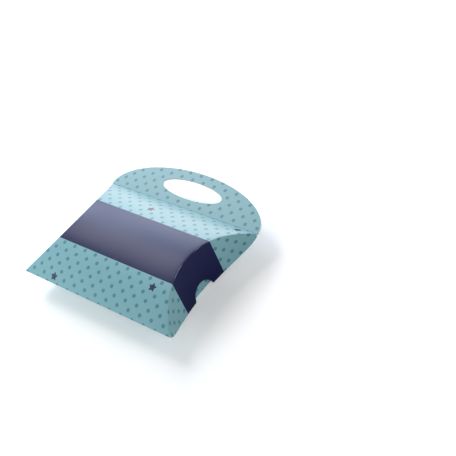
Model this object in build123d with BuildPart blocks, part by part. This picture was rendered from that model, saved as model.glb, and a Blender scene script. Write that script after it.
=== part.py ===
from build123d import *
from math import cos, radians, sin
import os

os.makedirs("parts", exist_ok=True)

# Lengths are in millimetres and angles in degrees.
# The pouch lies on its back panel. X runs along its length, Y runs from the
# closed long fold to the carrying handle, and Z is up. The origin is the middle
# of the line that the back panel rests on.

# Board and glue
board = 0.45
glue = 0.1
glue_inset = 2.0

# Pouch
length = 140.0
width = 98.0
bulge = 16.8
fold_radius = 0.5
outer_crease_tilt = 48.5
inner_crease_tilt = 46.0

# End flaps
crease_gap = 0.3
flap_gap = 0.35
flap_margin = 0.8
flap_clearance = 0.8
flap_edge_lift = 3.2
flap_edge_overrun = 0.6
outer_flap_corner = 0.8
inner_flap_margin = 5.0
inner_flap_corner = 2.0
notch_radius = 9.4
notch_lift = 0.5
notch_corner = 1.2

# Handle
handle_tilt = 12.0
handle_depth = 30.5
hinge_gap = 0.3
hole_half_length = 27.6
hole_root_rim = 7.3
hole_outer_rim = 8.0

# A panel is a strip of board bent to a long arc. The arc's middle line starts
# and ends on the two long folds and rises by the bulge between them.
half_width = width / 2
middle_radius = (half_width ** 2 + bulge ** 2) / (2 * bulge)
outer_radius = middle_radius + board / 2
inner_radius = middle_radius - board / 2
arc_drop = middle_radius - bulge
outer_bulge = outer_radius - arc_drop
clear_depth = 3 * outer_bulge

# The cross-section plane stands across the pouch at mid-length, with its own
# origin halfway up, level with both long folds.
across = Plane(origin=(0, 0, outer_bulge), x_dir=(0, 1, 0), z_dir=(1, 0, 0))

# An end crease is a curve in a plane that leans in from the pouch's end. A flap
# is the mirror image of its panel in that plane, and the cut between the two
# follows the plane's normal, so it halves the angle of the fold.
outer_lean = radians(outer_crease_tilt)
inner_lean = radians(inner_crease_tilt)
outer_stretch = 1 / cos(outer_lean)
inner_stretch = 1 / cos(inner_lean)
outer_flap_lean = radians(2 * outer_crease_tilt - 90)
inner_flap_lean = radians(2 * inner_crease_tilt - 90)
inner_inset = board + flap_gap
outer_crease = Plane(
    origin=(length / 2, 0, outer_bulge),
    x_dir=(0, 1, 0),
    z_dir=(cos(outer_lean), 0, sin(outer_lean)),
)
inner_crease = Plane(
    origin=(length / 2 - inner_inset, 0, outer_bulge),
    x_dir=(0, 1, 0),
    z_dir=(-cos(inner_lean), 0, sin(inner_lean)),
)
outer_flap_plane = Plane(
    origin=outer_crease.origin,
    x_dir=(0, 1, 0),
    z_dir=(-sin(outer_flap_lean), 0, cos(outer_flap_lean)),
)
inner_flap_plane = Plane(
    origin=inner_crease.origin,
    x_dir=(0, 1, 0),
    z_dir=(sin(inner_flap_lean), 0, cos(inner_flap_lean)),
)

# An outer flap's free edge is the lower part of an oval in the pouch's end view.
# The oval's centre is lifted above the long folds, its ends run past them, and the
# edge stays clear of the table.
flap_edge_reach = half_width + flap_edge_overrun
flap_edge_depth = outer_bulge + flap_edge_lift - flap_clearance

# The handle folds about the far long fold, and its own Y runs away from it. The
# finger hole fills what its two rims leave of the handle's depth.
hole_half_width = (handle_depth - hole_root_rim - hole_outer_rim) / 2
hole_reach = hole_root_rim + hole_half_width
handle_plane = Plane(
    origin=(0, half_width, outer_bulge),
    x_dir=(1, 0, 0),
    z_dir=(0, -sin(radians(handle_tilt)), cos(radians(handle_tilt))),
)

# Front panel: a bent strip with the upper half of both rounded long folds, cut
# back to a curved crease at each end
with BuildPart() as front_panel:
    with BuildSketch(across) as front_section:
        with Locations((0, -arc_drop)):
            Circle(outer_radius)
            Circle(inner_radius, mode=Mode.SUBTRACT)
        with Locations((-half_width, 0), (half_width, 0)):
            Circle(fold_radius)
        Rectangle(2 * width, 2 * bulge, align=(Align.CENTER, Align.MIN), mode=Mode.INTERSECT)
    extrude(amount=length / 2, both=True)
    with BuildSketch(outer_crease) as front_crease_outline:
        with Locations((0, -arc_drop * outer_stretch)):
            Ellipse(outer_radius, outer_radius * outer_stretch)
    front_end = extrude(amount=clear_depth, both=True, mode=Mode.SUBTRACT)
    mirror(front_end, about=Plane.YZ, mode=Mode.SUBTRACT)

# Back panel: the same strip turned over, with its creases set in by the board
# and the gap between two flaps, so that its flaps tuck inside the outer ones
with BuildPart() as back_panel:
    with BuildSketch(across) as back_section:
        with Locations((0, arc_drop)):
            Circle(outer_radius)
            Circle(inner_radius, mode=Mode.SUBTRACT)
        with Locations((-half_width, 0), (half_width, 0)):
            Circle(fold_radius)
        Rectangle(2 * width, 2 * bulge, align=(Align.CENTER, Align.MAX), mode=Mode.INTERSECT)
    extrude(amount=length / 2 - inner_inset, both=True)
    with BuildSketch(inner_crease) as back_crease_outline:
        with Locations((0, -arc_drop * inner_stretch)):
            Ellipse(outer_radius, outer_radius * inner_stretch)
    back_end = extrude(amount=clear_depth, both=True, mode=Mode.SUBTRACT)
    mirror(back_end, about=Plane.YZ, mode=Mode.SUBTRACT)

# Right outer flap: the front panel's arc mirrored in the crease plane, with an
# oval free edge and a thumb notch in its middle
with BuildPart() as right_outer_flap:
    with BuildSketch(outer_flap_plane) as outer_flap_section:
        with Locations((0, -arc_drop)):
            Circle(outer_radius)
            Circle(inner_radius, mode=Mode.SUBTRACT)
        Rectangle(2 * width, 2 * bulge, align=(Align.CENTER, Align.MIN), mode=Mode.INTERSECT)
    extrude(amount=clear_depth, both=True)
    with BuildSketch(outer_crease) as outer_flap_crease:
        with Locations((0, -arc_drop * outer_stretch)):
            Ellipse(outer_radius - crease_gap, outer_radius * outer_stretch - crease_gap)
    extrude(amount=clear_depth, both=True, mode=Mode.INTERSECT)
    with BuildSketch(across) as outer_flap_outline:
        with Locations((0, flap_edge_lift)):
            Ellipse(flap_edge_reach, flap_edge_depth)
        Rectangle(width - 2 * flap_margin, 2 * clear_depth, mode=Mode.INTERSECT)
        fillet(outer_flap_outline.vertices().group_by(Axis.Y)[0], radius=outer_flap_corner)
        with Locations((0, notch_lift - outer_bulge)):
            Circle(notch_radius, mode=Mode.SUBTRACT)
        fillet(outer_flap_outline.vertices().group_by(Axis.Y)[0], radius=notch_corner)
    extrude(amount=length, both=True, mode=Mode.INTERSECT)

with BuildPart() as left_outer_flap:
    mirror(right_outer_flap.part, about=Plane.YZ)

# Right inner flap: the back panel's arc mirrored in its own crease plane, cut
# off level with the long folds
with BuildPart() as right_inner_flap:
    with BuildSketch(inner_flap_plane) as inner_flap_section:
        with Locations((0, -arc_drop)):
            Circle(outer_radius)
            Circle(inner_radius, mode=Mode.SUBTRACT)
        Rectangle(2 * width, 2 * bulge, align=(Align.CENTER, Align.MIN), mode=Mode.INTERSECT)
    extrude(amount=clear_depth, both=True)
    with BuildSketch(inner_crease) as inner_flap_crease:
        with Locations((0, -arc_drop * inner_stretch)):
            Ellipse(outer_radius - crease_gap, outer_radius * inner_stretch - crease_gap)
    extrude(amount=clear_depth, both=True, mode=Mode.INTERSECT)
    with BuildSketch(across) as inner_flap_outline:
        Rectangle(
            width - 2 * inner_flap_margin,
            2 * outer_bulge,
            align=(Align.CENTER, Align.MAX),
        )
        fillet(inner_flap_outline.vertices().group_by(Axis.Y)[-1], radius=inner_flap_corner)
    extrude(amount=length, both=True, mode=Mode.INTERSECT)

with BuildPart() as left_inner_flap:
    mirror(right_inner_flap.part, about=Plane.YZ)

# Handle: two layers of board glued face to face, with one hole for the fingers
with BuildPart() as handle_front:
    with BuildSketch(handle_plane.offset(glue / 2)) as handle_front_outline:
        Ellipse(length / 2, handle_depth)
        Rectangle(length, handle_depth, align=(Align.CENTER, Align.MIN), mode=Mode.INTERSECT)
        with Locations((0, hole_reach)):
            Ellipse(hole_half_length, hole_half_width, mode=Mode.SUBTRACT)
    extrude(amount=board)
    with BuildSketch(across) as handle_front_root:
        with Locations((half_width, 0)):
            Circle(fold_radius + hinge_gap)
    extrude(amount=length, both=True, mode=Mode.SUBTRACT)

with BuildPart() as handle_glue:
    with BuildSketch(handle_plane.offset(-glue / 2)) as handle_glue_outline:
        Ellipse(length / 2 - glue_inset, handle_depth - glue_inset)
        with Locations((0, glue_inset)):
            Rectangle(length, handle_depth, align=(Align.CENTER, Align.MIN), mode=Mode.INTERSECT)
        with Locations((0, hole_reach)):
            Ellipse(hole_half_length + glue_inset, hole_half_width + glue_inset, mode=Mode.SUBTRACT)
    extrude(amount=glue)

with BuildPart() as handle_back:
    with BuildSketch(handle_plane.offset(-glue / 2 - board)) as handle_back_outline:
        Ellipse(length / 2, handle_depth)
        Rectangle(length, handle_depth, align=(Align.CENTER, Align.MIN), mode=Mode.INTERSECT)
        with Locations((0, hole_reach)):
            Ellipse(hole_half_length, hole_half_width, mode=Mode.SUBTRACT)
    extrude(amount=board)
    with BuildSketch(across) as handle_back_root:
        with Locations((half_width, 0)):
            Circle(fold_radius + hinge_gap)
    extrude(amount=length, both=True, mode=Mode.SUBTRACT)

front_panel.part.label = "front_panel"
back_panel.part.label = "back_panel"
right_outer_flap.part.label = "right_outer_flap"
left_outer_flap.part.label = "left_outer_flap"
right_inner_flap.part.label = "right_inner_flap"
left_inner_flap.part.label = "left_inner_flap"
handle_front.part.label = "handle_front"
handle_glue.part.label = "handle_glue"
handle_back.part.label = "handle_back"

export_step(front_panel.part, "parts/front_panel.step")
export_step(back_panel.part, "parts/back_panel.step")
export_step(right_outer_flap.part, "parts/right_outer_flap.step")
export_step(left_outer_flap.part, "parts/left_outer_flap.step")
export_step(right_inner_flap.part, "parts/right_inner_flap.step")
export_step(left_inner_flap.part, "parts/left_inner_flap.step")
export_step(handle_front.part, "parts/handle_front.step")
export_step(handle_glue.part, "parts/handle_glue.step")
export_step(handle_back.part, "parts/handle_back.step")
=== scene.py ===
import logging
import math
from dataclasses import dataclass
from enum import Enum
from typing import Any, Callable

import bmesh
import bpy
from mathutils import Euler, Matrix, Vector


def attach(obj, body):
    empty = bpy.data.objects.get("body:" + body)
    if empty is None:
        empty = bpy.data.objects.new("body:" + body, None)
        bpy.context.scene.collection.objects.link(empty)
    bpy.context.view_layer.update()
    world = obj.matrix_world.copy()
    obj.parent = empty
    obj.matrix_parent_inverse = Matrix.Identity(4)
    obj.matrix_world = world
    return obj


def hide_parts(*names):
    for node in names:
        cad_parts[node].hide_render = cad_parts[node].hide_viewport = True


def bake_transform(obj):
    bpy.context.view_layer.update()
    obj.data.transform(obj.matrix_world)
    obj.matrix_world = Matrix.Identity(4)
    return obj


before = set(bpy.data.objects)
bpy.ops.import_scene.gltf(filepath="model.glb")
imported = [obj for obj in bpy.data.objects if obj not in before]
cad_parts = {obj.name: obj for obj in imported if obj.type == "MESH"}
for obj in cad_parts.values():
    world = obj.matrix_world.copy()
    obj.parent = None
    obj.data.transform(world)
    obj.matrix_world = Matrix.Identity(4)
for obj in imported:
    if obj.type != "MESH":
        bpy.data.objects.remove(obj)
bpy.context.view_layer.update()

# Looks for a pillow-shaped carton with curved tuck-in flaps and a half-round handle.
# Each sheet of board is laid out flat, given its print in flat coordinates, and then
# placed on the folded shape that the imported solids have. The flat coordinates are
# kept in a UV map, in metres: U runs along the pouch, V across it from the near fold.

MM = 0.001
SHEET_MAP = "sheet"
BARE_SLOT, EDGE_SLOT = 1, 2
SHARP_ANGLE = math.radians(35)
SAME_PLANE = 1e-7
# The colour sockets of a Mix node share their names with others, so they go by number.
MIX_SHARE, MIX_FIRST, MIX_SECOND, MIX_RESULT = 0, 6, 7, 2
LOG = logging.getLogger("pillow_box")

Pair = tuple[float, float]
Point = tuple[float, float, float]
Colour = tuple[float, float, float]
Span = tuple[float, float, int]
Socket = bpy.types.NodeSocket
Piece = bpy.types.Object
Material = bpy.types.Material

WHITE: Colour = (1.0, 1.0, 1.0)


def linear(red: int, green: int, blue: int) -> Colour:
    """Turn a screen colour into the linear values that a shader takes.

    Args:
        red: Its red, 0 to 255.
        green: Its green, 0 to 255.
        blue: Its blue, 0 to 255.

    Returns:
        The three linear values, 0 to 1.
    """
    def channel(value: int) -> float:
        """Return one channel in linear light, by the sRGB curve."""
        share = value / 255
        return share / 12.92 if share <= 0.04045 else ((share + 0.055) / 1.055) ** 2.4

    return channel(red), channel(green), channel(blue)


def steps(*spans: Span) -> list[float]:
    """List the stations of several spans laid end to end.

    Args:
        spans: For each span its first value, its last value and its number of steps.

    Returns:
        Rising values, with each shared end once.
    """
    values = [spans[0][0]]
    for first, last, count in spans:
        values += [first + (last - first) * i / count for i in range(1, count + 1)]
    return values


def add_object(name: str, data: bpy.types.ID) -> Piece:
    """Put a new object into the scene.

    Args:
        name: Its name.
        data: Its mesh, lamp or camera.

    Returns:
        The new object.
    """
    added = bpy.data.objects.new(name, data)
    bpy.context.scene.collection.objects.link(added)
    return added


class Side(Enum):
    """The end of the pouch that a flap closes."""

    RIGHT = 1
    LEFT = -1


class Face(Enum):
    """Which half of the pouch a sheet belongs to."""

    FRONT = 1
    BACK = -1


@dataclass(frozen=True)
class Blank:
    """The printed board and the way it folds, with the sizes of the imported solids."""

    board: float = 0.45 * MM
    glue: float = 0.1 * MM
    length: float = 140.0 * MM
    width: float = 98.0 * MM
    bulge: float = 16.8 * MM
    outer_tilt: float = math.radians(48.5)
    inner_tilt: float = math.radians(46.0)
    fold_radius: float = 0.4 * MM
    crease_radius: float = 0.4 * MM
    back_inset: float = 0.8 * MM
    handle_tilt: float = math.radians(12.0)
    search_from: float = 0.9
    search_halvings: int = 60

    @property
    def radius(self) -> float:
        """Radius of a panel's printed face."""
        half = self.width / 2
        return (half ** 2 + self.bulge ** 2) / (2 * self.bulge) + self.board / 2

    @property
    def drop(self) -> float:
        """Distance from the long folds down to the middle of the front panel's arc."""
        return self.radius - self.board / 2 - self.bulge

    @property
    def middle(self) -> float:
        """Height of the long folds above the table."""
        return self.radius - self.drop

    @property
    def half_angle(self) -> float:
        """Half of the angle that a panel's arc spans."""
        return math.acos(self.drop / self.radius)

    @property
    def arc(self) -> float:
        """Length of a panel's printed face from fold to fold."""
        return 2 * self.radius * self.half_angle

    @property
    def fold_lean(self) -> float:
        """Angle from upright at which the arc runs into the rounded near fold."""
        return math.acos(self.drop / (self.radius - self.fold_radius))

    @property
    def fold_start(self) -> float:
        """Arc distance at which the rounded near fold hands over to the arc."""
        return self.radius * (self.half_angle - self.fold_lean)

    @property
    def fold_line(self) -> float:
        """Arc distance of the middle of the near fold."""
        return self.fold_start - self.fold_radius * (math.pi / 2 - self.fold_lean)

    def tilt(self, face: Face) -> float:
        """Return how far an end crease's plane leans in from upright."""
        return self.outer_tilt if face is Face.FRONT else self.inner_tilt

    def half_turn(self, face: Face) -> float:
        """Return half of the angle by which the board turns at an end crease."""
        return math.pi / 2 - self.tilt(face)

    def setback(self, face: Face) -> float:
        """Return the distance from an end crease to where its rounding starts."""
        return self.crease_radius * math.tan(self.half_turn(face))

    def station(self, s: float) -> Pair:
        """Find a point of the front panel's printed face.

        Args:
            s: Arc distance from the near fold.

        Returns:
            Its Y, and its height above the long folds.
        """
        if s < self.fold_start:
            centre = (self.radius - self.fold_radius) * math.sin(self.fold_lean)
            lean = self.fold_lean + (self.fold_start - s) / self.fold_radius
            y = -centre - self.fold_radius * math.sin(lean)
            return y, self.fold_radius * math.cos(lean)
        angle = s / self.radius - self.half_angle
        return self.radius * math.sin(angle), self.radius * math.cos(angle) - self.drop

    def arc_at(self, y: float) -> float:
        """Return the arc distance of the printed face at a given Y."""
        return self.radius * (math.asin(y / self.radius) + self.half_angle)

    def crease(self, rise: float, face: Face) -> float:
        """Find how far out an end crease lies.

        Args:
            rise: Height of the printed face above or below the long folds.
            face: The half of the pouch.

        Returns:
            Its distance from the middle of the pouch's length.
        """
        inset = self.back_inset if face is Face.BACK else 0.0
        return self.length / 2 - inset - math.tan(self.tilt(face)) * rise

    def printed_v(self, s: float, face: Face) -> float:
        """Return V for an arc distance, running on over the near fold to the back."""
        return s if face is Face.FRONT else 2 * self.fold_line - s

    def handle_root(self, face: Face) -> Pair:
        """Find where a panel's printed face meets the handle's.

        Args:
            face: The half of the pouch.

        Returns:
            The panel's arc distance there, and the handle's own distance from its fold.
        """
        tilt = self.handle_tilt * face.value
        lift = self.board + self.glue / 2
        low, high = self.arc * self.search_from, self.arc
        for _ in range(self.search_halvings):
            s = (low + high) / 2
            y, rise = self.station(s)
            above = rise * math.cos(tilt) - (y - self.width / 2) * math.sin(tilt)
            low, high = (s, high) if above > lift else (low, s)
        return s, (y - self.width / 2) * math.cos(tilt) + rise * math.sin(tilt)


@dataclass(frozen=True)
class FlapCut:
    """An inner flap's outline, seen along the pouch: level with the long folds."""

    blank: Blank
    margin: float = 5.0 * MM
    corner: float = 2.0 * MM
    bend: float = 8.0 * MM
    corner_steps: int = 14
    middle_steps: int = 88

    @property
    def corner_start(self) -> float:
        """How far from the flap's middle its rounded corners start."""
        return self.blank.width / 2 - self.margin - self.corner

    def trimmed(self, y: float) -> float:
        """Return the depth that a rounded corner takes off the free edge at a given Y."""
        past = max(abs(y) - self.corner_start, 0.0)
        return self.corner - math.sqrt(max(self.corner ** 2 - past ** 2, 0.0))

    def edge(self, y: float) -> float:
        """Return how far past the long folds the free edge lies, as the crease sees it."""
        return -self.trimmed(y)

    def middle_spans(self, end: float) -> tuple[Span, ...]:
        """Return the stations' spans between the corners, which start at end."""
        return ((-end, end, self.middle_steps),)

    def columns(self) -> list[float]:
        """List the flap's stations across the pouch, closer where its edge is round.

        Returns:
            The Y of each station, from one side to the other.
        """
        inner, end = self.corner_start, self.blank.width / 2 - self.margin
        return steps(
            (-end, -inner, self.corner_steps),
            *self.middle_spans(inner),
            (inner, end, self.corner_steps),
        )


@dataclass(frozen=True)
class NotchedCut(FlapCut):
    """An outer flap's outline: an oval edge with a thumb notch in its middle."""

    margin: float = 0.8 * MM
    corner: float = 0.8 * MM
    bend: float = 12.0 * MM
    edge_lift: float = 3.2 * MM
    edge_overrun: float = 0.6 * MM
    clearance: float = 0.8 * MM
    notch_radius: float = 9.4 * MM
    notch_lift: float = 0.5 * MM
    notch_corner: float = 1.2 * MM
    notch_foot: float = 11.2 * MM
    notch_crown: float = 8.2 * MM
    side_steps: int = 36
    foot_steps: int = 26
    crown_steps: int = 40

    def oval(self, y: float) -> float:
        """Find the free edge as if it had no notch and no corners.

        Args:
            y: Place across the pouch.

        Returns:
            Depth of the edge below the long folds.
        """
        reach = self.blank.width / 2 + self.edge_overrun
        depth = self.blank.middle + self.edge_lift - self.clearance
        return depth * math.sqrt(1 - (y / reach) ** 2) - self.edge_lift

    def edge(self, y: float) -> float:
        """Find the free edge, with its notch and its rounded corners.

        Args:
            y: Place across the pouch.

        Returns:
            Depth of the edge below the long folds.
        """
        across = abs(y)
        centre = self.blank.middle - self.notch_lift
        # The notch's rounded corner touches both the notch and the oval.
        near = self.notch_radius + self.notch_corner
        corner_depth = self.oval(near) - self.notch_corner
        corner_y = math.sqrt(near ** 2 - (centre - corner_depth) ** 2)
        notch_end = corner_y * self.notch_radius / near
        if across < notch_end:
            return centre - math.sqrt(self.notch_radius ** 2 - across ** 2)
        if across < corner_y:
            return corner_depth + math.sqrt(
                max(self.notch_corner ** 2 - (across - corner_y) ** 2, 0.0)
            )
        return self.oval(across) - self.trimmed(across)

    def middle_spans(self, end: float) -> tuple[Span, ...]:
        """List the stations' spans between the corners, closer round the notch.

        Args:
            end: Where the corners start.

        Returns:
            The spans, from one side to the other.
        """
        foot, crown = self.notch_foot, self.notch_crown
        return (
            (-end, -foot, self.side_steps),
            (-foot, -crown, self.foot_steps),
            (-crown, crown, self.crown_steps),
            (crown, foot, self.foot_steps),
            (foot, end, self.side_steps),
        )


@dataclass(frozen=True)
class HandleCut:
    """The handle's outline and finger hole, as the die cuts them."""

    depth: float = 30.5 * MM
    hole_half_length: float = 27.6 * MM
    hole_half_width: float = 7.6 * MM
    hole_reach: float = 14.9 * MM
    bend: float = 2.0 * MM
    bend_cuts: int = 8
    segments: int = 512
    taper: float = 0.006
    taper_rate: float = 8.0


@dataclass(frozen=True)
class Grain:
    """A noise pattern: its cells to a unit, its finer layers and how much they show."""

    scale: float
    detail: float = 2.0
    roughness: float = 0.5


class NodeSketch:
    """The shader nodes of a material or of the room, added and joined by short calls."""

    def __init__(self, owner: bpy.types.ID, output: str = "ShaderNodeOutputMaterial") -> None:
        """Start with nothing but an output.

        Args:
            owner: The new material or world.
            output: The type of its output node.
        """
        owner.use_nodes = True
        self.owner = owner
        self.tree = owner.node_tree
        self.tree.nodes.clear()
        self.output = self.tree.nodes.new(output)

    def feed(self, socket: Socket, value: Any) -> None:
        """Set a socket to a constant, or join another socket to it.

        Args:
            socket: The socket to fill.
            value: A number, a colour, a vector, or the socket to join.
        """
        if isinstance(value, Socket):
            self.tree.links.new(value, socket)
        elif socket.type == "RGBA":
            socket.default_value = (*value, 1.0)
        else:
            socket.default_value = value

    def node(self, kind: str, inputs: dict[Any, Any], **settings: Any) -> bpy.types.Node:
        """Add a node.

        Args:
            kind: The node's type.
            inputs: A constant or a socket for each input, by name or by number.
            settings: The node's own settings.

        Returns:
            The new node.
        """
        made = self.tree.nodes.new(kind)
        for key, value in settings.items():
            setattr(made, key, value)
        for key, value in inputs.items():
            self.feed(made.inputs[key], value)
        return made

    def math(self, operation: str, *values: Any) -> Socket:
        """Add a Math node.

        Args:
            operation: What it does.
            values: A constant or a socket for each input.

        Returns:
            Its result.
        """
        made = self.node("ShaderNodeMath", dict(enumerate(values)), operation=operation)
        return made.outputs[0]

    def apart(self, first: Any, second: Any) -> Socket:
        """Return how far two values are apart."""
        return self.math("ABSOLUTE", self.math("SUBTRACT", first, second))

    def length(self, x: Any, y: Any) -> Socket:
        """Return the length of a flat step with these two sides."""
        step = self.node("ShaderNodeCombineXYZ", {"X": x, "Y": y}).outputs["Vector"]
        return self.node("ShaderNodeVectorMath", {0: step}, operation="LENGTH").outputs["Value"]

    def own_place(self) -> Socket:
        """Return the piece's own coordinates."""
        return self.node("ShaderNodeTexCoord", {}).outputs["Object"]

    def ramp(
        self, value: Any, low: float, high: float, start: float = 0.0, end: float = 1.0
    ) -> Socket:
        """Turn a value into a smooth step.

        Args:
            value: The socket that it reads.
            low: The value at which the step starts.
            high: The value at which it ends.
            start: The result up to low.
            end: The result from high.

        Returns:
            The step.
        """
        made = self.node(
            "ShaderNodeMapRange",
            {"Value": value, "From Min": low, "From Max": high, "To Min": start, "To Max": end},
            interpolation_type="SMOOTHSTEP",
        )
        return made.outputs["Result"]

    def within(self, value: Any, edge: float, blur: float) -> Socket:
        """Return 1 where a value is below an edge and 0 above it, softened by the blur."""
        return self.ramp(value, edge + blur, edge - blur)

    def noise(self, vector: Any, grain: Grain) -> Socket:
        """Add a noise pattern.

        Args:
            vector: The coordinates that it reads.
            grain: How fine it is.

        Returns:
            Its value, about 0.5 on average.
        """
        inputs = {"Vector": vector, "Scale": grain.scale, "Detail": grain.detail}
        inputs["Roughness"] = grain.roughness
        return self.node("ShaderNodeTexNoise", inputs).outputs["Fac"]

    def mix(self, share: Any, first: Any, second: Any) -> Socket:
        """Mix two colours.

        Args:
            share: How much of the second shows, 0 to 1.
            first: The first colour.
            second: The second colour.

        Returns:
            The mixed colour.
        """
        inputs = {MIX_SHARE: share, MIX_FIRST: first, MIX_SECOND: second}
        made = self.node("ShaderNodeMix", inputs, data_type="RGBA", clamp_factor=True)
        return made.outputs[MIX_RESULT]

    def bump(self, height: Any, strength: float, distance: float, normal: Any = None) -> Any:
        """Add a bump.

        Args:
            height: The pattern.
            strength: How strongly it shows.
            distance: Its height in metres.
            normal: Another bump under this one, if there is one.

        Returns:
            The bent normal.
        """
        inputs = {"Height": height, "Strength": strength, "Distance": distance}
        if normal is not None:
            inputs["Normal"] = normal
        return self.node("ShaderNodeBump", inputs).outputs["Normal"]

    def finish(self, kind: str, inputs: dict[Any, Any]) -> bpy.types.ID:
        """Add the last shader, join it to the output, and return the owner."""
        self.feed(self.output.inputs["Surface"], self.node(kind, inputs).outputs[0])
        return self.owner

    def surface(self, colour: Any, roughness: Any, normal: Any, **sockets: Any) -> bpy.types.ID:
        """Finish the material with a Principled shader.

        Args:
            colour: Base colour.
            roughness: Roughness.
            normal: Bent normal.
            sockets: What other sockets take, with underscores for spaces.

        Returns:
            The finished material.
        """
        inputs = {"Base Color": colour, "Roughness": roughness, "Normal": normal}
        inputs |= {key.replace("_", " "): value for key, value in sockets.items()}
        return self.finish("ShaderNodeBsdfPrincipled", inputs)


class SheetSketch(NodeSketch):
    """The nodes of a printed sheet, with its flat coordinates in millimetres.

    Attributes:
        flat: Both coordinates together.
        u: Place along the pouch.
        v: Place across the blank, from the near fold of its front half.
        s: Place across the sheet's own half, from the near fold.
    """

    def __init__(self, name: str, face: Face, blank: Blank) -> None:
        """Start an empty material and read the flat coordinates.

        Args:
            name: The material's name.
            face: The half of the pouch that the sheet belongs to.
            blank: The board.
        """
        super().__init__(bpy.data.materials.new(name))
        metres = self.node("ShaderNodeUVMap", {}, uv_map=SHEET_MAP).outputs["UV"]
        scale = {"Vector": metres, "Scale": 1 / MM}
        self.flat = self.node("ShaderNodeVectorMath", scale, operation="SCALE").outputs[0]
        sides = self.node("ShaderNodeSeparateXYZ", {"Vector": self.flat}).outputs
        self.u, self.v = sides["X"], sides["Y"]
        self.s = self.v
        if face is Face.BACK:
            self.s = self.math("SUBTRACT", 2 * blank.fold_line / MM, self.v)


@dataclass(frozen=True)
class Star:
    """A small printed star in the place of a dot, in millimetres and radians."""

    along: float
    across: float
    turn: float
    reach: float = 3.4
    waist: float = 1.85
    points: int = 5
    blur: float = 0.06
    clearing: float = 0.25
    clearing_blur: float = 0.05

    def draw(self, sketch: SheetSketch) -> tuple[Any, Any]:
        """Draw the star.

        Args:
            sketch: The material.

        Returns:
            1 on the star and 0 off it, and 1 on the disc that it clears of dots.
        """
        x = sketch.math("SUBTRACT", sketch.u, self.along)
        y = sketch.math("SUBTRACT", sketch.v, self.across)
        away = sketch.length(x, y)
        cleared = sketch.within(away, self.reach + self.clearing, self.clearing_blur)
        # All the edges fold onto one, which lies square to this direction.
        sector = math.pi / self.points
        run, fall = self.waist * math.sin(sector), self.reach - self.waist * math.cos(sector)
        square = math.atan2(fall, run)
        angle = sketch.math("SUBTRACT", sketch.math("ARCTAN2", y, x), self.turn)
        folded = sketch.math("SUBTRACT", sketch.math("PINGPONG", angle, sector), square)
        out = sketch.math("MULTIPLY", away, sketch.math("COSINE", folded))
        return sketch.within(out, self.reach * math.cos(square), self.blur), cleared


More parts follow.
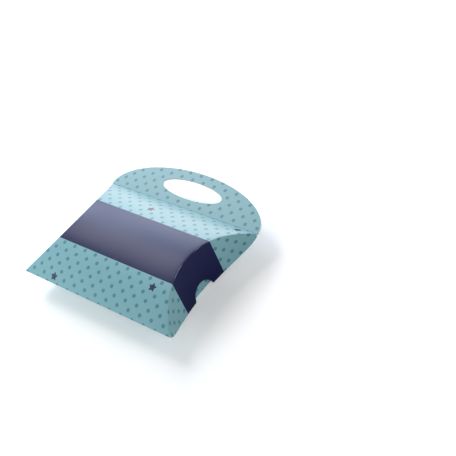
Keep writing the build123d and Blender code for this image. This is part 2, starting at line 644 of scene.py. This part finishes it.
@dataclass(frozen=True)
class PrintedBoard:
    """Gloss-laminated board with rows of dots, and on the front a dark band.

    Lengths are in millimetres of the flat sheet. A pair says where a soft step starts
    and ends, or for a bump its strength and its height in metres.
    """

    face: Face
    blank: Blank

    # Ink
    ground: Colour = linear(129, 175, 183)
    dot: Colour = linear(80, 135, 143)
    band: Colour = linear(13, 18, 64)
    star_ink: Colour = linear(40, 53, 86)
    cloud: Grain = Grain(0.035, 3.0, 0.55)
    cloud_tone: float = 0.10
    mottle: Grain = Grain(1.6, 3.0, 0.6)
    mottle_tone: float = 0.05
    column_pitch: float = 10.31
    row_pitch: float = 4.997
    column_shift: float = 5.06
    row_shift: float = 0.07
    dot_radius: float = 1.4
    dot_blur: float = 0.07
    band_from: float = 31.99
    band_to: float = 73.60
    band_blur: float = 0.05
    stars: tuple[Star, ...] = (
        Star(-41.2, 5.07, 0.38),
        Star(41.2, 25.06, 0.32),
        Star(-10.3, 85.02, 0.4),
        Star(56.7, 100.0, 0.1),
    )

    # Painted shade: a thin dark line along the handle's fold, with a few breaks in it
    fold_shade: Colour = linear(52, 104, 110)
    fold_shade_share: float = 0.75
    fold_shade_width: Pair = (0.34, 0.1)
    breaks: Grain = Grain(0.35, 2.0, 0.6)
    break_step: Pair = (0.36, 0.52)

    # Whitened film and a painted highlight, in short pale scuffs along the end creases and the
    # near fold
    scuff_and_highlight_colour: Colour = linear(186, 196, 212)
    scuff_and_highlight_share: float = 0.55
    scuff_and_highlight_at: float = 0.35
    crease_scuff_and_highlight: Pair = (0.42, 0.14)
    fold_scuff_and_highlight: Pair = (0.35, 0.05)
    fold_share: float = 0.6
    # The pale line always shows 37 to 46 mm from the near fold: a painted highlight along the
    # crease there, with whitened film.
    pale_line_at: float = 41.5
    pale_line_reach: Pair = (6.5, 4.5)
    patches: Grain = Grain(0.09, 1.0)
    patch_step: Pair = (0.52, 0.66)
    patch_share: Pair = (0.2, 0.9)
    streaks: Grain = Grain(0.8, 3.0, 0.6)
    streak_step: Pair = (0.3, 0.5)

    # Film, a soft gloss over the grain of the board
    roughness: float = 0.32
    cloud_roughness: float = 0.06
    scuff_roughness: float = 0.2
    graze: Pair = (0.72, 0.84)
    graze_spread: float = 0.45
    ior: float = 1.3
    band_gloss: Colour = (0.68, 0.78, 0.99)
    wave: Grain = Grain(0.03, 0.0)
    wave_bump: Pair = (0.3, 0.6 * MM)
    fibre: Grain = Grain(2.6)
    fibre_bump: Pair = (0.1, 0.01 * MM)
    scuff_bump: Pair = (0.3, 0.03 * MM)

    def dots(self, sketch: SheetSketch) -> Socket:
        """Draw the dots: two plain lattices, one set halfway between the other.

        Args:
            sketch: The material.

        Returns:
            1 on a dot and 0 off it.
        """
        half = self.column_pitch / 2
        along = sketch.math("SUBTRACT", sketch.u, self.column_shift)
        along = sketch.math("PINGPONG", along, half)
        across = sketch.math("SUBTRACT", sketch.v, self.row_shift)
        across = sketch.math("PINGPONG", across, self.row_pitch)
        even = sketch.length(along, across)
        odd = sketch.length(
            sketch.math("SUBTRACT", half, along),
            sketch.math("SUBTRACT", self.row_pitch, across),
        )
        nearest = sketch.math("MINIMUM", even, odd)
        return sketch.within(nearest, self.dot_radius, self.dot_blur)

    def overprint(self, sketch: SheetSketch, ink: Any) -> tuple[Any, Any]:
        """Print the stars and the dark band over the dots.

        Args:
            sketch: The material.
            ink: The dotted ground.

        Returns:
            The printed colour, and 1 on the band and 0 off it.
        """
        for star in self.stars:
            shown, cleared = star.draw(sketch)
            ink = sketch.mix(cleared, ink, self.ground)
            ink = sketch.mix(shown, ink, self.star_ink)
        middle = (self.band_from + self.band_to) / 2
        away = sketch.apart(sketch.v, middle)
        navy = sketch.within(away, self.band_to - middle, self.band_blur)
        return sketch.mix(navy, ink, self.band), navy

    def fold_shade_line(self, sketch: SheetSketch) -> Socket:
        """Draw the painted shade line along the handle's fold.

        Args:
            sketch: The material.

        Returns:
            How strongly it shows, and 0 off it and in its breaks.
        """
        root, out = self.blank.handle_root(self.face)
        lines = (root / MM, (self.blank.arc + out) / MM)
        away = sketch.math("MINIMUM", *(sketch.apart(sketch.s, line) for line in lines))
        line = sketch.ramp(away, *self.fold_shade_width, 0.0, self.fold_shade_share)
        breaks = sketch.ramp(sketch.noise(sketch.flat, self.breaks), *self.break_step)
        return sketch.math("MULTIPLY", line, breaks)

    def from_crease(self, sketch: SheetSketch) -> Socket:
        """Measure how far a point of the flat sheet is from its end crease.

        Args:
            sketch: The material.

        Returns:
            The distance in millimetres, below zero on the panel's side.
        """
        blank = self.blank
        radius, drop = blank.radius / MM, blank.drop / MM
        angle = sketch.math("MULTIPLY_ADD", sketch.s, 1 / radius, -blank.half_angle)
        rise = sketch.math("MULTIPLY_ADD", sketch.math("COSINE", angle), radius, -drop)
        slope = -math.tan(blank.tilt(self.face))
        crease = sketch.math("MULTIPLY_ADD", rise, slope, blank.crease(0.0, self.face) / MM)
        return sketch.math("SUBTRACT", sketch.math("ABSOLUTE", sketch.u), crease)

    def scuffs_and_highlights(self, sketch: SheetSketch) -> Socket:
        """Find where the film has whitened along the end creases and the near fold, with a
        painted highlight along them.

        Args:
            sketch: The material.

        Returns:
            How much it has, 0 to 1.
        """
        crease = sketch.apart(self.from_crease(sketch), self.scuff_and_highlight_at)
        crease = sketch.ramp(crease, *self.crease_scuff_and_highlight)
        fold = sketch.apart(sketch.v, self.blank.fold_line / MM)
        fold = sketch.ramp(fold, *self.fold_scuff_and_highlight, 0.0, self.fold_share)
        patch = sketch.noise(sketch.flat, self.patches)
        patch = sketch.ramp(patch, *self.patch_step, *self.patch_share)
        from_pale_line = sketch.apart(sketch.s, self.pale_line_at)
        patch = sketch.math("MAXIMUM", patch, sketch.ramp(from_pale_line, *self.pale_line_reach))
        streak = sketch.ramp(sketch.noise(sketch.flat, self.streaks), *self.streak_step)
        worn_and_highlit = sketch.math("MULTIPLY", patch, streak)
        return sketch.math("MULTIPLY", sketch.math("MAXIMUM", crease, fold), worn_and_highlit)

    def make(self) -> Material:
        """Build the material.

        Returns:
            The finished material.
        """
        sketch = SheetSketch(f"printed_{self.face.name.lower()}", self.face, self.blank)
        cloud = sketch.noise(sketch.flat, self.cloud)
        mottle = sketch.noise(sketch.flat, self.mottle)
        scuff_and_highlight_mask = self.scuffs_and_highlights(sketch)

        # Both noise patterns average a half, so the ink's tone averages 1.
        tone = 1 - (self.cloud_tone + self.mottle_tone) / 2
        tone = sketch.math("MULTIPLY_ADD", cloud, self.cloud_tone, tone)
        tone = sketch.math("MULTIPLY_ADD", mottle, self.mottle_tone, tone)
        ink = sketch.mix(self.dots(sketch), self.ground, self.dot)
        gloss = {}
        if self.face is Face.FRONT:
            ink, navy = self.overprint(sketch, ink)
            gloss["Specular_Tint"] = sketch.mix(navy, WHITE, self.band_gloss)
        ink = sketch.node("ShaderNodeHueSaturation", {"Value": tone, "Color": ink}).outputs[0]
        # Painted shade: a thin dark line along the handle's fold.
        ink = sketch.mix(self.fold_shade_line(sketch), ink, self.fold_shade)
        # Paler in the scuffs: whitened film, with a painted highlight along the creases.
        colour = sketch.mix(sketch.math("MULTIPLY", scuff_and_highlight_mask, self.scuff_and_highlight_share), ink, self.scuff_and_highlight_colour)

        # The gloss is softer in a scuff and where the eye grazes the film.
        roughness = sketch.math("MULTIPLY_ADD", cloud, self.cloud_roughness, self.roughness)
        roughness = sketch.math("MULTIPLY_ADD", scuff_and_highlight_mask, self.scuff_roughness, roughness)
        grazing = sketch.node("ShaderNodeLayerWeight", {}).outputs["Facing"]
        spread = sketch.ramp(grazing, *self.graze, 0.0, self.graze_spread)
        roughness = sketch.math("ADD", roughness, spread)
        normal = sketch.bump(sketch.noise(sketch.flat, self.wave), *self.wave_bump)
        normal = sketch.bump(sketch.noise(sketch.flat, self.fibre), *self.fibre_bump, normal)
        normal = sketch.bump(scuff_and_highlight_mask, *self.scuff_bump, normal)
        return sketch.surface(colour, roughness, normal, IOR=self.ior, **gloss)


@dataclass(frozen=True)
class BareBoard:
    """The unprinted white side of the board, with short fibres along the pouch."""

    light: Colour = linear(236, 234, 227)
    shade: Colour = linear(220, 217, 208)
    stretch: Point = (700.0, 2600.0, 2600.0)
    fibre: Grain = Grain(1.0, 4.0, 0.65)
    fibre_share: float = 0.6
    cloud: Grain = Grain(60.0, 3.0)
    tones: Pair = (0.35, 0.65)
    bump: Pair = (0.25, 0.03 * MM)
    roughness: float = 0.78
    ior: float = 1.45

    def make(self) -> Material:
        """Build the material.

        Returns:
            The finished material.
        """
        sketch = NodeSketch(bpy.data.materials.new("bare_board"))
        place = sketch.own_place()
        along = sketch.node("ShaderNodeMapping", {"Vector": place, "Scale": self.stretch})
        fibre = sketch.noise(along.outputs["Vector"], self.fibre)
        cloud = sketch.math("MULTIPLY", sketch.noise(place, self.cloud), 1 - self.fibre_share)
        tone = sketch.math("MULTIPLY_ADD", fibre, self.fibre_share, cloud)
        colour = sketch.mix(sketch.ramp(tone, *self.tones), self.shade, self.light)
        normal = sketch.bump(fibre, *self.bump)
        return sketch.surface(colour, self.roughness, normal, IOR=self.ior)


@dataclass(frozen=True)
class CutEdge:
    """The die-cut edge of the board: pale plies with a faintly greyer core."""

    ply: Colour = linear(232, 230, 224)
    core: Colour = linear(205, 200, 190)
    plies: Grain = Grain(2200.0, 3.0, 0.7)
    tones: Pair = (0.4, 0.7)
    bump: Pair = (0.4, 0.03 * MM)
    roughness: float = 0.85
    ior: float = 1.45

    def make(self) -> Material:
        """Build the material.

        Returns:
            The finished material.
        """
        sketch = NodeSketch(bpy.data.materials.new("cut_edge"))
        plies = sketch.noise(sketch.own_place(), self.plies)
        colour = sketch.mix(sketch.ramp(plies, *self.tones), self.ply, self.core)
        normal = sketch.bump(plies, *self.bump)
        return sketch.surface(colour, self.roughness, normal, IOR=self.ior)


@dataclass(frozen=True)
class DriedGlue:
    """A dried film of adhesive between the handle's two layers."""

    thin: Colour = linear(208, 200, 178)
    thick: Colour = linear(226, 220, 202)
    swirl: Grain = Grain(240.0, 4.0, 0.6)
    tones: Pair = (0.35, 0.65)
    bump: Pair = (0.3, 0.05 * MM)
    dulling: Pair = (0.3, 0.7)
    roughness: Pair = (0.35, 0.6)
    ior: float = 1.47

    def make(self) -> Material:
        """Build the material.

        Returns:
            The finished material.
        """
        sketch = NodeSketch(bpy.data.materials.new("dried_glue"))
        swirl = sketch.noise(sketch.own_place(), self.swirl)
        colour = sketch.mix(sketch.ramp(swirl, *self.tones), self.thin, self.thick)
        roughness = sketch.ramp(swirl, *self.dulling, *self.roughness)
        normal = sketch.bump(swirl, *self.bump)
        return sketch.surface(colour, roughness, normal, IOR=self.ior)


@dataclass
class SheetDress:
    """The three finishes of a sheet: its print, its bare side and its cut edge."""

    printed: Material
    bare: Material
    edge: Material

    def wear(self, piece: Piece) -> None:
        """Give a piece the three materials, in the order of its faces' numbers."""
        for material in (self.printed, self.bare, self.edge):
            piece.data.materials.append(material)


@dataclass
class Sheet:
    """A region of the board between two creases or a crease and a cut edge."""

    blank: Blank
    face: Face
    dress: SheetDress

    def finish(self, bm: bmesh.types.BMesh, node: str, outside: Vector) -> Piece:
        """Turn a printed face into board with a bare side and cut edges.

        Args:
            bm: The printed face.
            node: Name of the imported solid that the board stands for.
            outside: A direction that the printed side faces.

        Returns:
            The finished piece, with its modifiers made part of its mesh.
        """
        bm.normal_update()
        facing = sum((face.normal * face.calc_area() for face in bm.faces), Vector())
        if facing.dot(outside) < 0:
            bmesh.ops.reverse_faces(bm, faces=bm.faces[:])
        name = f"{node}_board"
        mesh = bpy.data.meshes.new(name)
        bm.to_mesh(mesh)
        bm.free()
        piece = add_object(name, mesh)
        self.dress.wear(piece)
        wall = piece.modifiers.new("wall", "SOLIDIFY")
        wall.thickness = self.blank.board
        wall.offset = -1.0
        wall.use_even_offset = True
        wall.material_offset = BARE_SLOT
        wall.material_offset_rim = EDGE_SLOT
        graph = bpy.context.evaluated_depsgraph_get()
        solid = bpy.data.meshes.new_from_object(
            piece.evaluated_get(graph), preserve_all_data_layers=True, depsgraph=graph
        )
        piece.modifiers.clear()
        piece.data = solid
        solid.name = name
        bpy.data.meshes.remove(mesh)
        solid.shade_smooth()
        solid.set_sharp_from_angle(angle=SHARP_ANGLE)
        return piece


def lay_grid(
    columns: list[float], rows: list[float], place: Callable[[float, float], tuple[Point, Pair]]
) -> bmesh.types.BMesh:
    """Lay a flat grid of board on a folded face.

    Args:
        columns: The value of each column of the grid.
        rows: The value of each row of the grid.
        place: Takes a column's and a row's value to a point and its flat coordinates.

    Returns:
        The mesh, with its flat coordinates in a UV map.
    """
    bm = bmesh.new()
    across, along = len(columns) - 1, len(rows) - 1
    bmesh.ops.create_grid(bm, x_segments=across, y_segments=along, size=0.5)
    flat: dict[bmesh.types.BMVert, Pair] = {}
    for vert in bm.verts:
        column = columns[round((vert.co.x + 0.5) * across)]
        row = rows[round((vert.co.y + 0.5) * along)]
        vert.co, flat[vert] = place(column, row)
    sheet = bm.loops.layers.uv.new(SHEET_MAP)
    for face in bm.faces:
        for loop in face.loops:
            loop[sheet].uv = flat[loop.vert]
    return bm


@dataclass
class Panel(Sheet):
    """One of the pouch's two bent panels, with its half of the rounded near fold."""

    arc_steps: int = 120
    fold_steps: int = 8
    length_steps: int = 20
    round_steps: int = 4

    def place(self, column: float, row: float) -> tuple[Point, Pair]:
        """Place a point of the panel's printed side.

        Args:
            column: Share of the way from the middle to the end crease's rounding, and
                past 1 or -1 the share of that rounding.
            row: Arc distance from the near fold.

        Returns:
            The point, and its flat coordinates.
        """
        blank = self.blank
        y, rise = blank.station(row)
        setback = blank.setback(self.face)
        level = min(abs(column), 1.0) * (blank.crease(rise, self.face) - setback)
        past = max(abs(column) - 1, 0.0)
        turned = past * blank.half_turn(self.face)
        x = level + blank.crease_radius * math.sin(turned)
        u = level + past * setback
        height = rise - blank.crease_radius * (1 - math.cos(turned))
        end = math.copysign(1, column)
        return (
            (end * x, y, blank.middle + self.face.value * height),
            (end * u, blank.printed_v(row, self.face)),
        )

    def build(self) -> Piece:
        """Build the panel and make it move with the pouch.

        Returns:
            The finished piece.
        """
        blank = self.blank
        root, _ = blank.handle_root(self.face)
        rows = steps(
            (blank.fold_line, blank.fold_start, self.fold_steps),
            (blank.fold_start, root, self.arc_steps),
        )
        columns = steps(
            (-2.0, -1.0, self.round_steps),
            (-1.0, 1.0, self.length_steps),
            (1.0, 2.0, self.round_steps),
        )
        node = f"{self.face.name.lower()}_panel"
        bm = lay_grid(columns, rows, self.place)
        piece = self.finish(bm, node, Vector((0, 0, self.face.value)))
        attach(piece, "pouch")
        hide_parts(node)
        return piece


@dataclass
class Flap(Sheet):
    """A curved end flap, which bends out of the panel along its crease."""

    side: Side
    cut: FlapCut
    bend_slack: float = math.radians(1.5)
    bend_lead: float = 0.8 * MM
    depth_steps: int = 44
    round_steps: int = 4

    def place(self, column: float, row: float) -> tuple[Point, Pair]:
        """Place a point of the flap's printed side.

        Args:
            column: Place across the pouch.
            row: Share of the way down the flap, and below 0 the crease's rounding.

        Returns:
            The point, and its flat coordinates.
        """
        blank = self.blank
        s = blank.arc_at(column)
        y, rise = blank.station(s)
        crease = blank.crease(rise, self.face)
        setback = blank.setback(self.face)
        half_turn = blank.half_turn(self.face)
        lean = math.pi / 2 - 2 * half_turn
        if row < 0:
            turned = (2 + row) * half_turn
            x = crease - setback + blank.crease_radius * math.sin(turned)
            height = rise - blank.crease_radius * (1 - math.cos(turned))
            run = (1 + row) * setback
        else:
            reach = (rise + self.cut.edge(y)) / math.cos(lean)
            run = setback + row * (reach - setback)
            x = crease + run * math.sin(lean)
            height = rise - run * math.cos(lean)
        end = self.side.value
        return (
            (end * x, y, blank.middle + self.face.value * height),
            (end * (crease + run), blank.printed_v(s, self.face)),
        )

    def build(self) -> Piece:
        """Build the flap along its crease.

        Returns:
            The finished piece.
        """
        blank = self.blank
        end, up = self.side.value, self.face.value
        side = self.side.name.lower()
        layer = "outer" if self.face is Face.FRONT else "inner"
        node, body = f"{side}_{layer}_flap", f"{layer}_flap_{side}"
        rows = steps((-1.0, 0.0, self.round_steps), (0.0, 1.0, self.depth_steps))
        bm = lay_grid(self.cut.columns(), rows, self.place)
        piece = self.finish(bm, node, Vector((end, 0, 0)))
        slant = blank.tilt(self.face) - self.bend_slack
        top = end * blank.crease(blank.middle, self.face)
        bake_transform(piece)
        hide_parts(node)
        return piece


@dataclass
class HandleLayer(Sheet):
    """One of the handle's two layers of board, folded out of its panel."""

    cut: HandleCut

    def flat_ring(self, root: float) -> bmesh.types.BMesh:
        """Cut the layer flat: a half-round outline with the finger hole in it.

        Args:
            root: The layer's own distance from the fold where its panel hands over.

        Returns:
            The flat mesh: X along the fold, Y out from it, with its UV map.
        """
        cut = self.cut
        bm = bmesh.new()
        # The outline's lower half lies along the fold, drawn in a little at its ends.
        outline = bmesh.ops.create_circle(bm, segments=cut.segments, radius=1.0)["verts"]
        for vert in outline:
            x, y, _ = vert.co
            vert.co = (self.blank.length / 2 * x, cut.depth * y if y > 0 else root, 0)
            if y <= 0:
                vert.co.x *= 1 - cut.taper * min(1.0, -y * cut.taper_rate)
        hole = bmesh.ops.create_circle(bm, segments=cut.segments, radius=1.0)["verts"]
        for vert in hole:
            x, y, _ = vert.co
            vert.co = (cut.hole_half_length * x, cut.hole_reach + cut.hole_half_width * y, 0)
        bmesh.ops.triangle_fill(bm, use_beauty=True, edges=bm.edges[:], normal=(0, 0, 1))
        for i in range(cut.bend_cuts + 1):
            bmesh.ops.bisect_plane(
                bm,
                geom=bm.verts[:] + bm.edges[:] + bm.faces[:],
                dist=SAME_PLANE,
                plane_co=(0, cut.bend * i / cut.bend_cuts, 0),
                plane_no=(0, 1, 0),
            )
        sheet = bm.loops.layers.uv.new(SHEET_MAP)
        for face in bm.faces:
            for loop in face.loops:
                v = self.blank.printed_v(self.blank.arc + loop.vert.co.y, self.face)
                loop[sheet].uv = (loop.vert.co.x, v)
        return bm

    def build(self) -> Piece:
        """Build the layer and place it at its fold.

        Returns:
            The finished piece.
        """
        blank = self.blank
        up, tilt = self.face.value, blank.handle_tilt
        fold = Vector((0, blank.width / 2, blank.middle))
        _, root = blank.handle_root(self.face)
        bm = self.flat_ring(root)
        lifted = Matrix.Translation((0, 0, up * (blank.board + blank.glue / 2)))
        folded = Matrix.Translation(fold) @ Matrix.Rotation(tilt, 4, "X") @ lifted
        bmesh.ops.transform(bm, matrix=folded, verts=bm.verts[:])
        node = f"handle_{self.face.name.lower()}"
        piece = self.finish(bm, node, Vector((0, 0, up)))
        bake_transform(piece)
        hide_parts(node)
        return piece


@dataclass
class Pouch:
    """The two panels, glued into a flat tube and bent to a pillow."""

    blank: Blank
    dresses: dict[Face, SheetDress]

    def build(self) -> list[Piece]:
        """Build both panels and return them."""
        return [Panel(self.blank, face, self.dresses[face]).build() for face in Face]


@dataclass
class EndFlaps:
    """The two pairs of flaps that close the pouch's ends."""

    blank: Blank
    dresses: dict[Face, SheetDress]

    def build(self) -> list[Piece]:
        """Build the four flaps.

        Returns:
            The four pieces, with each outer flap before its inner one.
        """
        cuts = {Face.FRONT: NotchedCut(self.blank), Face.BACK: FlapCut(self.blank)}
        return [
            Flap(self.blank, face, self.dresses[face], side, cuts[face]).build()
            for side in Side
            for face in Face
        ]


@dataclass
class Handle:
    """The carrying handle: two layers of board with dried glue between them."""

    blank: Blank
    dresses: dict[Face, SheetDress]
    cut: HandleCut = HandleCut()
    glue: DriedGlue = DriedGlue()

    def build(self) -> list[Piece]:
        """Build both layers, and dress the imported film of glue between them.

        Returns:
            The two layers.
        """
        layers = [
            HandleLayer(self.blank, face, self.dresses[face], self.cut).build()
            for face in Face
        ]
        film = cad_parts["handle_glue"]
        material = self.glue.make()
        for place in film.material_slots:
            place.material = material
        LOG.info("dressed %s", film.name)
        return layers


@dataclass(frozen=True)
class Softbox:
    """A rectangular lamp, wide and high, aimed at the object."""

    name: str
    place: Point
    size: Pair
    watts: float
    colour: Colour = WHITE
    target: Point = (0.0, 0.01, 0.02)

    def build(self) -> None:
        """Hang the lamp and aim it."""
        name = f"{self.name}_softbox"
        lamp = bpy.data.lights.new(name, "AREA")
        lamp.shape = "RECTANGLE"
        lamp.size, lamp.size_y = self.size
        lamp.energy = self.watts
        lamp.color = self.colour
        hung = add_object(name, lamp)
        hung.location = self.place
        aim = Vector(self.target) - Vector(self.place)
        hung.rotation_euler = aim.to_track_quat("-Z", "Y").to_euler()
        hung.visible_camera = False


@dataclass
class Studio:
    """The floor, the surroundings, the lamps and the camera."""

    floor_half: float = 3.0
    floor_drop: float = 0.1 * MM
    floor_colour: Colour = (0.86, 0.86, 0.86)
    floor_lift: float = 0.3
    floor_gloss_lift: float = 0.05
    floor_fade: Pair = (0.2, 1.1)
    ambient: float = 0.24
    ambient_colour: Colour = (0.93, 0.97, 1.0)
    room_gloss: float = 0.8
    lamps: tuple[Softbox, ...] = (
        Softbox("back", (-0.957, 0.842, 0.723), (0.69, 0.46), 10.2, (0.86, 0.96, 1.16)),
        Softbox("rim", (-0.783, 1.263, 0.29), (0.7, 0.56), 7.0, (1.06, 0.98, 0.95)),
        Softbox("top", (-0.712, 0.283, 0.867), (0.47, 0.42), 5.4, (1.14, 1.05, 1.05)),
        Softbox("front", (-0.367, -0.287, 0.183), (0.6, 0.34), 1.58, (0.82, 1.03, 1.08)),
        Softbox("end", (0.578, 0.081, 0.165), (0.55, 0.3), 1.15),
    )
    camera_place: Point = (0.39298, -0.25052, 0.43473)
    camera_turn: Point = (45.9455, 13.7465, 36.5590)
    lens: float = 70.27
    sensor: float = 36.0
    clip_start: float = 0.01

    def floor_paper(self) -> Material:
        """Make a matt floor that turns white away from the object, to the eye and in gloss.

        Returns:
            The floor's material.
        """
        sketch = NodeSketch(bpy.data.materials.new("floor_paper"))
        matt = sketch.node("ShaderNodeBsdfDiffuse", {"Color": self.floor_colour})
        rays = sketch.node("ShaderNodeLightPath", {}).outputs
        away = sketch.node("ShaderNodeVectorMath", {0: sketch.own_place()}, operation="LENGTH")
        lifts = []
        for ray, near in ("Camera", self.floor_lift), ("Glossy", self.floor_gloss_lift):
            lift = sketch.ramp(away.outputs["Value"], *self.floor_fade, near, 1.0)
            lifts.append(sketch.math("MULTIPLY", rays[f"Is {ray} Ray"], lift))
        glow = sketch.node("ShaderNodeEmission", {"Strength": sketch.math("ADD", *lifts)})
        return sketch.finish("ShaderNodeAddShader", {0: matt.outputs[0], 1: glow.outputs[0]})

    def floor(self) -> None:
        """Lay a plain white floor that keeps the object's shadow."""
        bm = bmesh.new()
        bmesh.ops.create_grid(bm, x_segments=1, y_segments=1, size=self.floor_half)
        bmesh.ops.translate(bm, verts=bm.verts[:], vec=(0, 0, -self.floor_drop))
        mesh = bpy.data.meshes.new("floor")
        bm.to_mesh(mesh)
        bm.free()
        mesh.materials.append(self.floor_paper())
        add_object("floor", mesh)

    def surroundings(self) -> None:
        """Make the room white to the camera and in gloss, and a softer fill elsewhere."""
        world = bpy.data.worlds.new("room")
        bpy.context.scene.world = world
        sketch = NodeSketch(world, "ShaderNodeOutputWorld")
        rays = sketch.node("ShaderNodeLightPath", {}).outputs
        clear = rays["Is Camera Ray"]
        level = sketch.math("MAXIMUM", clear, self.room_gloss)
        for ray in ("Is Glossy Ray", "Is Transmission Ray"):
            clear = sketch.math("MAXIMUM", clear, rays[ray])
        fill = {"Color": self.ambient_colour, "Strength": self.ambient}
        white = {"Color": WHITE, "Strength": level}
        looks = [sketch.node("ShaderNodeBackground", look).outputs[0] for look in (fill, white)]
        sketch.finish("ShaderNodeMixShader", dict(enumerate((clear, *looks))))

    def camera(self) -> None:
        """Set up the camera at the photograph's angle and framing."""
        data = bpy.data.cameras.new("camera")
        data.lens = self.lens
        data.sensor_width = self.sensor
        data.clip_start = self.clip_start
        shot = add_object("camera", data)
        shot.location = self.camera_place
        shot.rotation_euler = Euler([math.radians(angle) for angle in self.camera_turn])
        bpy.context.scene.camera = shot

    def build(self) -> None:
        """Build the whole studio."""
        self.floor()
        self.surroundings()
        for lamp in self.lamps:
            lamp.build()
        self.camera()
        bpy.context.scene.view_settings.view_transform = "Standard"


def main() -> None:
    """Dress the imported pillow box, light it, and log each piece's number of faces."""
    logging.basicConfig(level=logging.INFO, format="%(name)s: %(message)s")
    blank = Blank()
    bare, edge = BareBoard().make(), CutEdge().make()
    dresses = {
        face: SheetDress(PrintedBoard(face, blank).make(), bare, edge) for face in Face
    }
    groups = (Pouch(blank, dresses), EndFlaps(blank, dresses), Handle(blank, dresses))
    for group in groups:
        for piece in group.build():
            LOG.info("built %s: %d faces", piece.name, len(piece.data.polygons))
    Studio().build()


if __name__ == "__main__":
    main()
